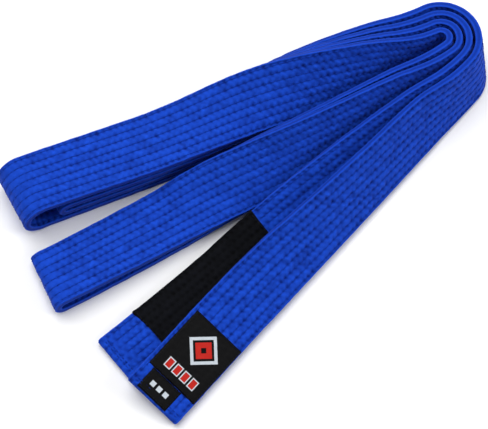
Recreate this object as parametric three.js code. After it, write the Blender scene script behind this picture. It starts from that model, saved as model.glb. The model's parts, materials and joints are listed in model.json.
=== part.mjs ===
// A folded martial arts belt: a quilted cotton strip with a black rank bar near one
// end and a woven label near the other. Millimetres, +Z up.
// The strip is folded in half, then laid in four nested U-turns. Each layer (a "ply")
// stands on its edge at its U-turn on the right and twists down flat to the left.
// Ply 1 is the outermost U-turn and ply 4 the innermost one.
import * as THREE from 'three';
import { mergeVertices } from 'three/addons/utils/BufferGeometryUtils.js';

// ---- The strip ----
const STRIP_WIDTH = 42.5;
const STRIP_THICKNESS = 4.6;
const COVER_WALL = 0.7;
const CLEARANCE = 0.3;
const CORE_GAP = 0.4;
const ROW_COUNT = 8;
const ROW_EDGE_MARGIN = 2.8;
const THREAD_WIDTH = 0.9;
const THREAD_HEIGHT = 0.28;
const END_SEAM_INSET = 4;
const END_SEAM_WIDTH = 1.2;

// ---- The fold layout, seen from above ----
const TURN_CENTRE = new THREE.Vector2(140, 103.5);
const INNER_TURN_RADIUS = 5.6;
const TURN_PITCH = 6.5;
const TURN_LEAN = 73;
const TURN_LEAN_HEADING = 129;
const LABEL_END = new THREE.Vector2(-43, -144);
const BAR_END = new THREE.Vector2(-67, -121);
const MIDDLE_FOLD_END = new THREE.Vector2(-113, -66);
const DOUBLE_FOLD_END = new THREE.Vector2(-132, -8.5);
const MIDDLE_RUN_BOW = 5.5;
const BAR_RUN_BOW = 5;
const FAR_RUN_BOW = 2;
const FAR_FOLD_SKEW = 7;
const INNER_FOLD_SETBACK = 16;

// ---- How each run twists, as [distance from its U-turn, lean in degrees] ----
const LABEL_RUN_LEAN = [[0, TURN_LEAN], [40, 61], [100, 53], [150, 43], [185, 31.5], [215, 21.8], [240, 16.8]];
const BAR_RUN_LEAN = [[0, TURN_LEAN], [50, 58], [110, 38], [158, 21], [186, 10], [208, 2], [224, 0]];
const MIDDLE_RUN_LEAN = [[0, TURN_LEAN], [60, 60], [96, 52], [132, 42], [168, 27], [198, 10], [222, 0]];
const FAR_RUN_LEAN = [[0, TURN_LEAN], [50, 62], [115, 39], [165, 15], [200, 2], [225, 0]];

// ---- How the layers lie on each other ----
const BACK_TO_BACK_PITCH = 7.2;
const FACE_TO_FACE_PITCH = 5.6;
const FOLD_A_SPREAD = 5;
const FOLD_A_OPENS_OVER = 90;
const SKEW_OVER = 80;
const LIFT_OVER = 60;
const FOLD_B_OPENS_OVER = 110;
const FOLD_B_SPREAD = 5.6;
const LABEL_RUN_LIFT = 0.9;
const BAR_RUN_LIFT = 1;
const RUN_STEP = 24;
const TURN_STEPS = 8;
const FOLD_STEPS = 6;

// ---- What is sewn on ----
const BAR_LENGTH = 104;
const BAR_FROM_END = 29;
const BAR_CLOTH = 0.6;
const BAR_SEAM_WIDTH = 1.4;
const LABEL_WIDTH = 39;
const LABEL_LENGTH = 46;
const LABEL_FROM_END = 17;
const LABEL_OFFSET = -1;
const LABEL_CLOTH = 0.5;
const LABEL_SEAM_MARGIN = 1.2;
const LABEL_SEAM_WIDTH = 0.8;
const TAB_WIDTH = 24;
const TAB_LENGTH = 15;
const TAB_FROM_END = 1.2;
const TAB_CLOTH = 0.4;
const TAB_OFFSET = 2;
const TAB_SEAM_HEIGHT = 0.3;
const LIFT_HINGE_FROM_END = 140;

// ---- Materials ----
const material = (color, roughness) => new THREE.MeshStandardMaterial({ color, roughness, metalness: 0 });
const coverCotton = () => material(0x1c44b4, 0.9);
const coreCotton = () => material(0xe8e4d8, 0.95);
const blueThread = () => material(0x2a5ad0, 0.7);
const barCotton = () => material(0x0b0b0e, 0.9);
const blackThread = () => material(0x141418, 0.7);
const labelSatin = () => material(0x101014, 0.55);

const ROW_BEND_TWIST = THREE.MathUtils.degToRad(1.2);
const UP = new THREE.Vector3(0, 0, 1);
const radians = THREE.MathUtils.degToRad;

// A smooth curve through [distance, value] pairs, flat past its ends.
function curveAt(pairs, x) {
  const last = pairs.length - 1;
  if (x <= pairs[0][0]) return pairs[0][1];
  if (x >= pairs[last][0]) return pairs[last][1];
  const k = pairs.findIndex((pair) => pair[0] > x) - 1;
  const slope = (i) => {
    if (i <= 0 || i >= last) return 0;
    const before = (pairs[i][1] - pairs[i - 1][1]) / (pairs[i][0] - pairs[i - 1][0]);
    const after = (pairs[i + 1][1] - pairs[i][1]) / (pairs[i + 1][0] - pairs[i][0]);
    return (before + after) / 2;
  };
  const [x0, y0] = pairs[k];
  const [x1, y1] = pairs[k + 1];
  const h = x1 - x0;
  const t = (x - x0) / h;
  const startSlope = k === 0 ? (y1 - y0) / h : slope(k);
  const endSlope = slope(k + 1);
  const a = 2 * t ** 3 - 3 * t ** 2 + 1;
  const b = t ** 3 - 2 * t ** 2 + t;
  return a * y0 + b * h * startSlope + (1 - a) * y1 + (t ** 3 - t ** 2) * h * endSlope;
}

const horizontal = (degrees) => new THREE.Vector3(Math.cos(radians(degrees)), Math.sin(radians(degrees)), 0);
const turnRadius = (ply) => INNER_TURN_RADIUS + (4 - ply) * TURN_PITCH;
const turnWidth = horizontal(TURN_LEAN_HEADING).multiplyScalar(Math.cos(radians(TURN_LEAN)))
  .addScaledVector(UP, Math.sin(radians(TURN_LEAN)));

// One station of the strip: the middle of its section and the direction from its near
// edge to its far edge.
function station(nearEdge, width) {
  const centre = nearEdge.clone().addScaledVector(width, STRIP_WIDTH / 2);
  return { centre, width };
}

// How far apart neighbouring runs of a bundle lie on the ground: nothing once they are flat.
const groundGap = (lean) => TURN_PITCH * (Math.sin(lean) / Math.sin(radians(TURN_LEAN))) ** 1.5;

// The run from a U-turn to its left end. side is -1 for the near runs and 1 for the far
// runs; lift(distance, lean, length) is how high its near edge lies. A run of a bundle
// keeps beside the run of the bundle's innermost ply.
function run(ply, side, end, leans, lift, { innermost = ply, shorter = 0, bow = 0, skew = 0 } = {}) {
  const reach = end.clone().sub(TURN_CENTRE);
  const radius = turnRadius(innermost);
  const swing = Math.acos(radius / reach.length());
  const touch = reach.angle() - side * swing + (4 * bow) / reach.length();
  const out = new THREE.Vector2(Math.cos(touch), Math.sin(touch));
  const start = TURN_CENTRE.clone().addScaledVector(out, radius);
  const along = end.clone().sub(start);
  const length = along.length();
  along.normalize();
  const left = new THREE.Vector2(-along.y, along.x);
  const used = length - shorter;
  const steps = Math.round(used / RUN_STEP);
  const stations = [];
  for (let i = 0; i <= steps; i += 1) {
    const distance = (used * i) / steps;
    const share = distance / length;
    const lean = radians(curveAt(leans, distance));
    const rise = lift(distance, lean, length);
    const heading = along.clone().addScaledVector(left, ((4 * bow) / length) * (1 - 2 * share)).normalize();
    const across = new THREE.Vector3(heading.y, -heading.x, 0);
    const tilt = lean - (rise.tilt ?? 0);
    const turned = across.clone().applyAxisAngle(UP, radians(skew) * ramp(distance, length, SKEW_OVER));
    const width = turned.multiplyScalar(Math.cos(tilt)).addScaledVector(UP, Math.sin(tilt));
    width.lerp(turnWidth, 1 - THREE.MathUtils.smoothstep(distance, 0, 45)).normalize();
    const ground = start.clone().addScaledVector(along, distance)
      .addScaledVector(left, 4 * bow * share * (1 - share))
      .addScaledVector(new THREE.Vector2(across.x, across.y), side * (innermost - ply) * groundGap(lean));
    const lifted = rise.height * THREE.MathUtils.smoothstep(distance, 0, LIFT_OVER);
    const z = lifted + (STRIP_THICKNESS / 2) * Math.cos(lean);
    stations.push({ ...station(new THREE.Vector3(ground.x, ground.y, z), width), fromTurn: distance });
  }
  return { stations, touch };
}

// The U-turn itself, an oblique cylinder whose generators all lean the same way.
function turn(ply, from, to) {
  const radius = turnRadius(ply);
  const stations = [];
  for (let i = 1; i < TURN_STEPS; i += 1) {
    const angle = from + ((to - from) * i) / TURN_STEPS;
    const z = (STRIP_THICKNESS / 2) * Math.cos(radians(TURN_LEAN));
    const x = TURN_CENTRE.x + radius * Math.cos(angle);
    const y = TURN_CENTRE.y + radius * Math.sin(angle);
    stations.push(station(new THREE.Vector3(x, y, z), turnWidth.clone()));
  }
  return stations;
}

// How much higher the upper of two neighbouring layers lies, so that they keep a pitch.
const stackStep = (pitch, lean) => Math.max(0, (pitch - groundGap(lean) * Math.sin(lean)) / Math.cos(lean));

// A fold at the left, from the lower run's end up to the upper run's end.
function fold(lower, upper) {
  const edge = (at, sign) => at.centre.clone().addScaledVector(at.width, (sign * STRIP_WIDTH) / 2);
  const out = new THREE.Vector3().crossVectors(lower.width, UP).normalize().negate();
  const arc = (sign, angle) => {
    const low = edge(lower, sign);
    const high = edge(upper, sign);
    const radius = high.distanceTo(low) / 2;
    const middle = low.clone().add(high).multiplyScalar(0.5);
    const spoke = low.sub(middle).multiplyScalar(Math.cos(angle));
    return middle.add(spoke).addScaledVector(out, radius * Math.sin(angle));
  };
  const stations = [];
  for (let i = 1; i < FOLD_STEPS; i += 1) {
    const angle = (Math.PI * i) / FOLD_STEPS;
    const near = arc(-1, angle);
    const far = arc(1, angle);
    stations.push({ centre: near.clone().add(far).multiplyScalar(0.5), width: far.sub(near).normalize() });
  }
  return stations;
}

// ---- Laying out the whole strip ----
const ramp = (distance, length, over) => THREE.MathUtils.smoothstep(distance, length - over, length);

const farLift = (ply) => (distance, lean, length) => {
  const backs = Math.floor(ply / 2) * stackStep(BACK_TO_BACK_PITCH, lean);
  const faces = Math.floor((ply - 1) / 2) * stackStep(FACE_TO_FACE_PITCH, lean);
  const spread = ((ply - 1) / 3) * FOLD_A_SPREAD * ramp(distance, length, FOLD_A_OPENS_OVER);
  return { height: backs + faces + spread };
};
const upperMiddleLift = (distance, lean, length) => {
  const spread = FOLD_B_SPREAD * ramp(distance, length, FOLD_B_OPENS_OVER);
  return { height: stackStep(BACK_TO_BACK_PITCH, lean) + spread, tilt: Math.asin(spread / STRIP_WIDTH) };
};
const flatOn = (height) => () => ({ height });

const middleBundle = { innermost: 4, bow: MIDDLE_RUN_BOW };
const near = {
  1: run(1, -1, LABEL_END, LABEL_RUN_LEAN, flatOn(LABEL_RUN_LIFT)),
  2: run(2, -1, BAR_END, BAR_RUN_LEAN, flatOn(BAR_RUN_LIFT), { bow: BAR_RUN_BOW }),
  3: run(3, -1, MIDDLE_FOLD_END, MIDDLE_RUN_LEAN, upperMiddleLift, middleBundle),
  4: run(4, -1, MIDDLE_FOLD_END, MIDDLE_RUN_LEAN, flatOn(0), middleBundle),
};
const farBundle = { innermost: 4, bow: FAR_RUN_BOW, skew: FAR_FOLD_SKEW };
const farInside = { ...farBundle, shorter: INNER_FOLD_SETBACK };
const far = {
  1: run(1, 1, DOUBLE_FOLD_END, FAR_RUN_LEAN, farLift(1), farBundle),
  2: run(2, 1, DOUBLE_FOLD_END, FAR_RUN_LEAN, farLift(2), farInside),
  3: run(3, 1, DOUBLE_FOLD_END, FAR_RUN_LEAN, farLift(3), farInside),
  4: run(4, 1, DOUBLE_FOLD_END, FAR_RUN_LEAN, farLift(4), farBundle),
};

const backwards = (stations) => stations.slice().reverse();
const course = (ply) => {
  const bend = turn(ply, near[ply].touch - 2 * Math.PI, far[ply].touch);
  return { nearRun: near[ply].stations, bend, farRun: far[ply].stations };
};
const plies = { 1: course(1), 2: course(2), 3: course(3), 4: course(4) };
const leftEnd = (stations) => stations[stations.length - 1];

// The strip from its label end to its bar end, as one list of stations and the names of
// the stretches of cover along it.
const strip = [];
const stretches = [];
function lay(name, stations) {
  const first = Math.max(strip.length - 1, 0);
  strip.push(...stations);
  stretches.push({ name, first, last: strip.length - 1 });
}
lay('label_run', backwards(plies[1].nearRun));
lay('turn_1', [...plies[1].bend, plies[1].farRun[0]]);
lay('far_run_1', plies[1].farRun.slice(1));
lay('outer_fold', [...fold(leftEnd(plies[1].farRun), leftEnd(plies[4].farRun)), leftEnd(plies[4].farRun)]);
lay('far_run_4', backwards(plies[4].farRun).slice(1));
lay('turn_4', [...backwards(plies[4].bend), plies[4].nearRun[0]]);
lay('near_run_4', plies[4].nearRun.slice(1));
lay('middle_fold', [...fold(leftEnd(plies[4].nearRun), leftEnd(plies[3].nearRun)), leftEnd(plies[3].nearRun)]);
lay('near_run_3', backwards(plies[3].nearRun).slice(1));
lay('turn_3', [...plies[3].bend, plies[3].farRun[0]]);
lay('far_run_3', plies[3].farRun.slice(1));
lay('inner_fold', [
  ...backwards(fold(leftEnd(plies[2].farRun), leftEnd(plies[3].farRun))),
  leftEnd(plies[2].farRun),
]);
lay('far_run_2', backwards(plies[2].farRun).slice(1));
lay('turn_2', [...backwards(plies[2].bend), plies[2].nearRun[0]]);
lay('bar_run', plies[2].nearRun.slice(1));

// Each station's distance along the strip and the direction that the label's face looks.
strip.forEach((at, i) => {
  const before = strip[Math.max(i - 1, 0)];
  const after = strip[Math.min(i + 1, strip.length - 1)];
  const along = after.centre.clone().sub(before.centre);
  at.face = along.cross(at.width).normalize();
  at.reach = i === 0 ? 0 : before.reach + at.centre.distanceTo(before.centre);
});
const STRIP_LENGTH = strip[strip.length - 1].reach;

// The station at a distance along the strip, between the two that are already there.
function stationAt(reach) {
  const k = Math.max(1, strip.findIndex((s) => s.reach >= reach));
  const [a, b] = [strip[k - 1], strip[k]];
  const t = (reach - a.reach) / (b.reach - a.reach);
  return {
    centre: a.centre.clone().lerp(b.centre, t),
    width: a.width.clone().lerp(b.width, t),
    face: a.face.clone().lerp(b.face, t),
    fromTurn: THREE.MathUtils.lerp(a.fromTurn ?? 0, b.fromTurn ?? 0, t),
    reach,
  };
}
const BAR_TO = STRIP_LENGTH - BAR_FROM_END;
const BAR_FROM = BAR_TO - BAR_LENGTH;
const stretchEnds = stretches.map(({ name, first, last }) => ({ name, from: strip[first].reach, to: strip[last].reach }));
[
  LIFT_HINGE_FROM_END, BAR_FROM, BAR_FROM + BAR_SEAM_WIDTH, BAR_FROM + 2 * BAR_SEAM_WIDTH,
  BAR_TO - 2 * BAR_SEAM_WIDTH, BAR_TO - BAR_SEAM_WIDTH, BAR_TO,
].forEach((reach) => {
  const made = stationAt(reach);
  strip.splice(strip.findIndex((s) => s.reach >= reach), 0, made);
});

// The strip's stations from one distance to another, with a station made at each end.
function between(from, to) {
  const inside = strip.filter((s) => s.reach > from + 0.2 && s.reach < to - 0.2);
  return [stationAt(from), ...inside, stationAt(to)];
}

// Each patch of the strip between two stations is a pair of triangles. They meet along
// the diagonal that starts at the far edge on the side of the U-turn, in every layer, so
// that twisted layers lie evenly on each other.
const startsAtFarEdge = (a, b) => (b.fromTurn ?? 0) >= (a.fromTurn ?? 0);

// ---- Sections across the strip: x across its width, y towards the label's face ----
const box = (x0, x1, y0, y1) => [[x0, y0], [x1, y0], [x1, y1], [x0, y1]].map(([x, y]) => new THREE.Vector2(x, y));
const HALF_WIDTH = STRIP_WIDTH / 2;
const HALF_THICKNESS = STRIP_THICKNESS / 2;
const rowPositions = Array.from({ length: ROW_COUNT }, (_, k) => {
  const span = STRIP_WIDTH - 2 * ROW_EDGE_MARGIN;
  return -span / 2 + (span * k) / (ROW_COUNT - 1);
});
const coverSection = box(-HALF_WIDTH, HALF_WIDTH, -HALF_THICKNESS, HALF_THICKNESS);
const hollowWidth = HALF_WIDTH - COVER_WALL;
const hollowHeight = HALF_THICKNESS - COVER_WALL;
const hollowSection = box(-hollowWidth, hollowWidth, -hollowHeight, hollowHeight);

// ---- Solids along the strip ----
const place = (at, point) => at.centre.clone().addScaledVector(at.width, point.x).addScaledVector(at.face, point.y);

class Shell {
  constructor() {
    this.points = [];
    this.triangles = [];
  }

  ring(at, section, shift = new THREE.Vector3()) {
    const first = this.points.length;
    section.forEach((point) => this.points.push(place(at, point).add(shift)));
    return { at, indices: section.map((_, i) => first + i), section };
  }

  wall(rings, inward) {
    for (let r = 1; r < rings.length; r += 1) {
      const [a, b] = [rings[r - 1].indices, rings[r].indices];
      const fromFar = startsAtFarEdge(rings[r - 1].at, rings[r].at);
      a.forEach((_, i) => {
        const j = (i + 1) % a.length;
        const iIsFar = rings[r].section[i].x > rings[r].section[j].x;
        if (iIsFar === fromFar) {
          this.add([a[i], a[j], b[j]], inward);
          this.add([a[i], b[j], b[i]], inward);
        } else {
          this.add([a[i], a[j], b[i]], inward);
          this.add([a[j], b[j], b[i]], inward);
        }
      });
    }
  }

  cap(ring, backward, hole = null) {
    const faces = THREE.ShapeUtils.triangulateShape(ring.section, hole ? [hole.section] : []);
    const all = hole ? [...ring.indices, ...hole.indices] : ring.indices;
    faces.forEach((face) => this.add(face.map((i) => all[i]), backward));
  }

  add([a, b, c], flipped) {
    this.triangles.push(...(flipped ? [a, c, b] : [a, b, c]));
  }

  geometry() {
    const geometry = new THREE.BufferGeometry();
    geometry.setAttribute('position', new THREE.Float32BufferAttribute(this.points.flatMap((p) => p.toArray()), 3));
    geometry.setIndex(this.triangles);
    return mergeVertices(geometry, 1e-3);
  }

  close(rings) {
    this.wall(rings, false);
    this.cap(rings[0], true);
    this.cap(rings.at(-1), false);
    return this.geometry();
  }
}

// A solid of one section from one distance along the strip to another.
function solidAlong(from, to, section) {
  const shell = new Shell();
  return shell.close(between(from, to).map((at) => shell.ring(at, section)));
}

// A hollow sleeve. An end is open unless a wall closes it.
function sleeveAlong(from, to, outer, inner, startWall = 0, endWall = 0) {
  const shell = new Shell();
  const outside = between(from, to).map((at) => shell.ring(at, outer));
  const inside = between(from + startWall, to - endWall).map((at) => shell.ring(at, inner));
  shell.wall(outside, false);
  shell.wall(inside, true);
  const end = (index, wall, backward) => {
    const [out, hole] = [outside.at(index), inside.at(index)];
    shell.cap(out, backward, wall > 0 ? null : hole);
    if (wall > 0) shell.cap(hole, !backward);
  };
  end(0, startWall, true);
  end(-1, endWall, false);
  return shell.geometry();
}

// A stitch row: a thread that follows the strip's back face, over the diagonals too.
function rowAlong(from, to, x, section) {
  const shell = new Shell();
  const stations = between(from, to);
  const rings = [];
  stations.forEach((b, i) => {
    if (i > 0) {
      const a = stations[i - 1];
      if (a.width.angleTo(b.width) > ROW_BEND_TWIST) rings.push(ringOnDiagonal(shell, a, b, x, section));
    }
    rings.push(shell.ring(b, section));
  });
  return shell.close(rings);
}

function ringOnDiagonal(shell, a, b, x, section) {
  const far = startsAtFarEdge(a, b) ? HALF_WIDTH : -HALF_WIDTH;
  const t = (far - x) / (2 * far);
  const at = {
    centre: a.centre.clone().lerp(b.centre, t),
    width: a.width.clone().lerp(b.width, t),
    face: a.face.clone().lerp(b.face, t),
    fromTurn: THREE.MathUtils.lerp(a.fromTurn ?? 0, b.fromTurn ?? 0, t),
  };
  const start = place(a, new THREE.Vector2(far, -HALF_THICKNESS));
  const onDiagonal = start.lerp(place(b, new THREE.Vector2(-far, -HALF_THICKNESS)), t);
  return shell.ring(at, section, onDiagonal.sub(place(at, new THREE.Vector2(x, -HALF_THICKNESS))));
}

// A stitched outline: a thin rectangular frame on the label's face.
function frameOnFace(from, to, x0, x1, y0, thread) {
  const corners = (inset) => [
    [from + inset, x0 + inset], [to - inset, x0 + inset], [to - inset, x1 - inset], [from + inset, x1 - inset],
  ].map(([reach, x]) => new THREE.Vector2(reach, x));
  const outline = new THREE.Shape(corners(0));
  outline.holes.push(new THREE.Path(corners(thread).reverse()));
  const geometry = new THREE.ExtrudeGeometry(outline, { depth: TAB_SEAM_HEIGHT, bevelEnabled: false });
  const position = geometry.getAttribute('position');
  for (let i = 0; i < position.count; i += 1) {
    const at = stationAt(position.getX(i));
    const point = place(at, new THREE.Vector2(position.getY(i), y0 + position.getZ(i)));
    position.setXYZ(i, point.x, point.y, point.z);
  }
  geometry.deleteAttribute('normal');
  geometry.deleteAttribute('uv');
  return mergeVertices(geometry, 1e-3);
}

// ---- The pieces ----
const belt = new THREE.Group();
function addPiece(name, geometry, look) {
  const piece = new THREE.Mesh(geometry, look);
  piece.name = name;
  belt.add(piece);
}

const cut = CLEARANCE / 2;
const tailEnd = LIFT_HINGE_FROM_END - cut;
const restStart = LIFT_HINGE_FROM_END + cut;

function addCover() {
  addPiece('cover_label_tail', sleeveAlong(0, tailEnd, coverSection, hollowSection, COVER_WALL), coverCotton());
  stretchEnds.forEach(({ name, from, to }, i) => {
    const start = i === 0 ? restStart : from + cut;
    const isLast = i === stretchEnds.length - 1;
    const end = isLast ? STRIP_LENGTH : to - cut;
    const geometry = sleeveAlong(start, end, coverSection, hollowSection, 0, isLast ? COVER_WALL : 0);
    addPiece(`cover_${name}`, geometry, coverCotton());
  });
}

function addCore() {
  const inset = COVER_WALL + CLEARANCE;
  const halfWidth = HALF_WIDTH - inset;
  const halfHeight = HALF_THICKNESS - inset;
  const layers = {
    core_layer_label_side: box(-halfWidth, halfWidth, CORE_GAP / 2, halfHeight),
    core_layer_back_side: box(-halfWidth, halfWidth, -halfHeight, -CORE_GAP / 2),
  };
  Object.entries(layers).forEach(([name, section]) => {
    addPiece(`${name}_tail`, solidAlong(inset, tailEnd, section), coreCotton());
    addPiece(name, solidAlong(restStart, STRIP_LENGTH - inset, section), coreCotton());
  });
}

const ROWS_FROM_END = END_SEAM_INSET + END_SEAM_WIDTH + CLEARANCE;
const rowTop = -HALF_THICKNESS - CLEARANCE;
const rowSection = (x) => [
  new THREE.Vector2(x - THREAD_WIDTH / 2, rowTop),
  new THREE.Vector2(x, rowTop - THREAD_HEIGHT),
  new THREE.Vector2(x + THREAD_WIDTH / 2, rowTop),
];
function addStitchRows() {
  rowPositions.forEach((x, k) => {
    addPiece(`stitch_row_${k + 1}_tail`, rowAlong(ROWS_FROM_END, tailEnd, x, rowSection(x)), blueThread());
    addPiece(`stitch_row_${k + 1}`, rowAlong(restStart, STRIP_LENGTH - ROWS_FROM_END, x, rowSection(x)), blueThread());
  });
  const half = HALF_WIDTH - ROW_EDGE_MARGIN;
  const section = box(-half, half, rowTop - THREAD_HEIGHT, rowTop);
  const seam = (from) => solidAlong(from, from + END_SEAM_WIDTH, section);
  addPiece('end_seam_label_end', seam(END_SEAM_INSET), blueThread());
  addPiece('end_seam_bar_end', seam(STRIP_LENGTH - END_SEAM_INSET - END_SEAM_WIDTH), blueThread());
}

function addRankBar() {
  const x = HALF_WIDTH + CLEARANCE;
  const front = HALF_THICKNESS + CLEARANCE;
  const back = HALF_THICKNESS + 2 * CLEARANCE + THREAD_HEIGHT;
  const inner = box(-x, x, -back, front);
  const outer = box(-x - BAR_CLOTH, x + BAR_CLOTH, -back - BAR_CLOTH, front + BAR_CLOTH);
  addPiece('rank_bar', sleeveAlong(BAR_FROM, BAR_TO, outer, inner), barCotton());
  const seamTop = -back - BAR_CLOTH - CLEARANCE;
  const seam = box(-HALF_WIDTH + 1, HALF_WIDTH - 1, seamTop - THREAD_HEIGHT, seamTop);
  const [first, second] = [BAR_FROM + BAR_SEAM_WIDTH, BAR_TO - 2 * BAR_SEAM_WIDTH];
  addPiece('rank_bar_seam_inner', solidAlong(first, first + BAR_SEAM_WIDTH, seam), blackThread());
  addPiece('rank_bar_seam_outer', solidAlong(second, second + BAR_SEAM_WIDTH, seam), blackThread());
}

function addPatch(name, from, length, width, offset, cloth, thread) {
  const x0 = offset - width / 2;
  const x1 = offset + width / 2;
  const bottom = HALF_THICKNESS + CLEARANCE;
  const top = bottom + cloth;
  addPiece(name, solidAlong(from, from + length, box(x0, x1, bottom, top)), labelSatin());
  const margin = LABEL_SEAM_MARGIN;
  const frame = frameOnFace(
    from + margin, from + length - margin, x0 + margin, x1 - margin, top + CLEARANCE, LABEL_SEAM_WIDTH,
  );
  addPiece(`${name}_seam`, frame, thread);
}

addCover();
addCore();
addStitchRows();
addRankBar();
addPatch('woven_label', LABEL_FROM_END, LABEL_LENGTH, LABEL_WIDTH, LABEL_OFFSET, LABEL_CLOTH, blackThread());
addPatch('size_tab', TAB_FROM_END, TAB_LENGTH, TAB_WIDTH, TAB_OFFSET, TAB_CLOTH, blackThread());

// The origin is under the middle of the whole belt.
const bounds = new THREE.Box3().setFromObject(belt);
const middle = bounds.getCenter(new THREE.Vector3());
belt.position.set(-middle.x, -middle.y, -bounds.min.z);

export default belt;
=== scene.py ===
# %% [markdown]
# # A folded martial arts belt
# A belt for grappling is one long strip: padding inside a cotton cover, quilted from end to
# end by rows of stitches. A black rank bar is sewn round it near one end and a woven label
# near the other. Here it lies folded, standing on its edge where it turns back on itself.
# It could be simulated as cloth, but stiff quilting holds the shape it is laid in, so its
# path is worked out by formula and the quilting is raised on it in the mesh.

# %% Load the fixed frame
import json
import math
from functools import partialmethod

import bpy
import numpy as np
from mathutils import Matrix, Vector


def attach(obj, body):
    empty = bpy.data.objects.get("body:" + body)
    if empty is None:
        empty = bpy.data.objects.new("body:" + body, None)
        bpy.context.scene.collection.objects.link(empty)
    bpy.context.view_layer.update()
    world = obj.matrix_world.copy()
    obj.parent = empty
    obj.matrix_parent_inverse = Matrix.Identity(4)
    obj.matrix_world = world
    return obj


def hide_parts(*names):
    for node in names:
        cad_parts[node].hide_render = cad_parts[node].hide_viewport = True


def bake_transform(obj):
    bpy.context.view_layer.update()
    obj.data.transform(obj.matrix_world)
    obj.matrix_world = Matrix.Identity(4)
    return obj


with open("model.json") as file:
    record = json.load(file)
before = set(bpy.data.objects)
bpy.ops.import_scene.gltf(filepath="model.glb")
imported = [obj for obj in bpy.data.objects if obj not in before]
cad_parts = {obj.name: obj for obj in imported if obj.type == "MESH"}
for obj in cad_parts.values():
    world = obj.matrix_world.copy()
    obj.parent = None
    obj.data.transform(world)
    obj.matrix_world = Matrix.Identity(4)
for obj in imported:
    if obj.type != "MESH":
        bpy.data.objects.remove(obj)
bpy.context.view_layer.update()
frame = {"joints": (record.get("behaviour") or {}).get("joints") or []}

# %% [markdown]
# The strip's path is made of straight runs, U-turns and folds. All lengths below are in
# millimetres, and become metres only in the meshes.

# %% The sizes of the strip and of its folds
MM = 0.001
STRIP_WIDTH, STRIP_THICKNESS = 42.5, 4.6
HALF_WIDTH = STRIP_WIDTH / 2
TURN_CENTRE = np.array([140, 103.5])
INNER_TURN_RADIUS, TURN_PITCH = 5.6, 6.5
TURN_LEAN, TURN_LEAN_HEADING = 73, 129
GAP_CLOSING = 1.5
LABEL_END, BAR_END = np.array([-43, -144]), np.array([-67, -121])
MIDDLE_FOLD_END, DOUBLE_FOLD_END = np.array([-114.6, -66.8]), np.array([-130.4, -8])
MIDDLE_RUN_BOW, BAR_RUN_BOW, FAR_RUN_BOW = 5.5, 5, 2
FAR_FOLD_SKEW, SKEW_OVER, LIFT_OVER, SETTLE_OVER = 7, 80, 60, 45
INNER_FOLD_SETBACK = 16
LAYER_PITCH, FOLD_A_SPREAD, FOLD_A_OPENS_OVER = 6.67, 5, 90
FOLD_B_SPREAD, FOLD_B_OPENS_OVER = 5.6, 110
LABEL_RUN_LIFT, BAR_RUN_LIFT = 0.9, 1.0
STATION_STEP = 0.9
UP = np.array([0, 0, 1.0])
# How each run leans over, as (distance from its U-turn, degrees).
LABEL_RUN_LEAN = [(0, TURN_LEAN), (40, 61), (100, 53), (150, 43), (185, 31.5), (215, 21.8), (240, 16.8)]
BAR_RUN_LEAN = [(0, TURN_LEAN), (50, 58), (110, 38), (158, 21), (186, 10), (208, 2), (224, 0)]
MIDDLE_RUN_LEAN = [(0, TURN_LEAN), (60, 60), (96, 52), (132, 42), (168, 27), (198, 10), (222, 0)]
FAR_RUN_LEAN = [(0, TURN_LEAN), (50, 62), (110, 37), (150, 15), (180, 3), (205, 0)]


# %% Helpers for smooth curves
def smoothstep(x, low, high):
    t = np.clip((x - low) / (high - low), 0, 1)
    return t * t * (3 - 2 * t)


def curve_at(pairs, x):
    """A smooth curve through the pairs, flat past the last one."""
    xs, ys = np.array(pairs, float).T
    slope = np.diff(ys) / np.diff(xs)
    tangent = np.concatenate([slope[:1], (slope[1:] + slope[:-1]) / 2, [0]])
    k = np.clip(np.searchsorted(xs, x, side="right") - 1, 0, len(xs) - 2)
    h = xs[k + 1] - xs[k]
    t = np.clip((x - xs[k]) / h, 0, 1)
    a = 2 * t**3 - 3 * t**2 + 1
    b = t**3 - 2 * t**2 + t
    return a * ys[k] + b * h * tangent[k] + (1 - a) * ys[k + 1] + (t**3 - t**2) * h * tangent[k + 1]


def unit(v):
    return v / np.linalg.norm(v, axis=-1, keepdims=True)


def flat_direction(angle):
    return np.array([math.cos(angle), math.sin(angle)])


print("lean of the label run half way:", round(float(curve_at(LABEL_RUN_LEAN, 150.0)), 1), "degrees")

# %% [markdown]
# Four layers nest in the U-turn. Layer 1 is the outermost. Each stands nearly upright at
# the turn and twists down flat further along, so a run is a straight line on the ground
# plus a lean that changes with the distance from the turn.

# %% One straight run
TURN_WIDTH = np.append(
    flat_direction(math.radians(TURN_LEAN_HEADING)) * math.cos(math.radians(TURN_LEAN)),
    math.sin(math.radians(TURN_LEAN)),
)


def turn_radius(ply):
    return INNER_TURN_RADIUS + (4 - ply) * TURN_PITCH


def ground_gap(lean):
    """How far apart the layers stand on the ground. The gap closes as they lean over."""
    return TURN_PITCH * (np.sin(lean) / math.sin(math.radians(TURN_LEAN))) ** GAP_CLOSING


def stack_step(lean):
    """How much higher the next layer's near edge lies, so that the layers keep their pitch."""
    return np.maximum(0, (LAYER_PITCH - ground_gap(lean) * np.sin(lean)) / np.cos(lean))


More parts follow.
